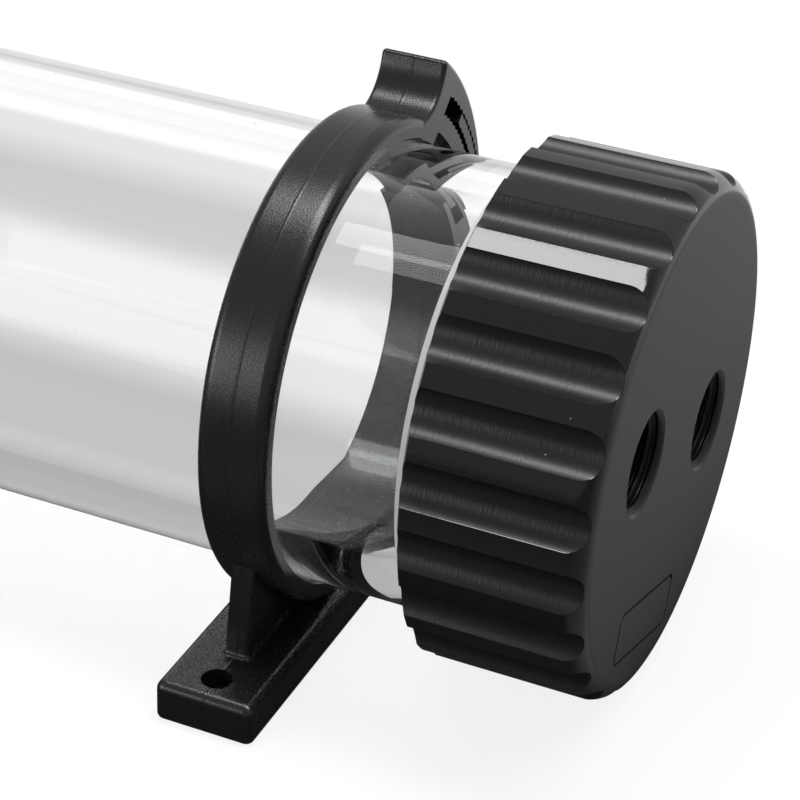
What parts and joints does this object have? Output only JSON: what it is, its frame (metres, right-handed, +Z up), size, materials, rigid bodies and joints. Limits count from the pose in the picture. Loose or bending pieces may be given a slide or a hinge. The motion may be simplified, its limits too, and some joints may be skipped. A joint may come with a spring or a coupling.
{
  "type": "water cooling reservoir",
  "caption": "Clear tube reservoir with fluted screw caps, threaded ports and sprung clamp brackets for a liquid cooling loop.",
  "frame": {"origin": "on the mounting surface, under the middle of the tube, midway between the two feet's screw rows", "axes": "+X along the tube's axis, +Y towards the clamps' toothed side, +Z up from the feet"},
  "size_m": [0.2002, 0.0804, 0.0716],
  "materials": {
    "clear_acrylic": "clear polished acrylic",
    "black_acetal": "turned and milled satin",
    "black_nylon": "fine moulded grain",
    "seal_rubber": "smooth"
  },
  "bodies": {
    "tube_and_holders": {"tube": "clear_acrylic", "bracket_front_base": "black_nylon", "bracket_rear_base": "black_nylon"},
    "front_seal": {"seal_front": "seal_rubber"},
    "front_cap": {"cap_front": "black_acetal"},
    "rear_seal": {"seal_rear": "seal_rubber"},
    "rear_cap": {"cap_rear": "black_acetal"},
    "front_clamp_arm": {"bracket_front_arm": "black_nylon"},
    "rear_clamp_arm": {"bracket_rear_arm": "black_nylon"}
  },
  "joints": [
    {"name": "front_cap_travel", "type": "slide", "parent": "tube_and_holders", "child": "front_seal", "axis": [1, 0, 0], "range_m": [0, 0.012]},
    {"name": "front_cap_turn", "type": "hinge", "parent": "front_seal", "child": "front_cap", "pos_m": [0.095, 0, 0.036], "axis": [1, 0, 0], "range_deg": [0, 2160]},
    {"name": "rear_cap_travel", "type": "slide", "parent": "tube_and_holders", "child": "rear_seal", "axis": [-1, 0, 0], "range_m": [0, 0.012]},
    {"name": "rear_cap_turn", "type": "hinge", "parent": "rear_seal", "child": "rear_cap", "pos_m": [-0.095, 0, 0.036], "axis": [-1, 0, 0], "range_deg": [0, 2160]},
    {"name": "front_clamp_open", "type": "hinge", "parent": "tube_and_holders", "child": "front_clamp_arm", "pos_m": [0.0524, -0.02893, 0.0193], "axis": [1, 0, 0], "range_deg": [0, 35]},
    {"name": "rear_clamp_open", "type": "hinge", "parent": "tube_and_holders", "child": "rear_clamp_arm", "pos_m": [-0.0524, -0.02893, 0.0193], "axis": [1, 0, 0], "range_deg": [0, 35]}
  ],
  "couplings": [
    {"joint": "front_cap_travel", "follows": "front_cap_turn", "m_per_rad": 0.0003183},
    {"joint": "rear_cap_travel", "follows": "rear_cap_turn", "m_per_rad": 0.0003183}
  ]
}
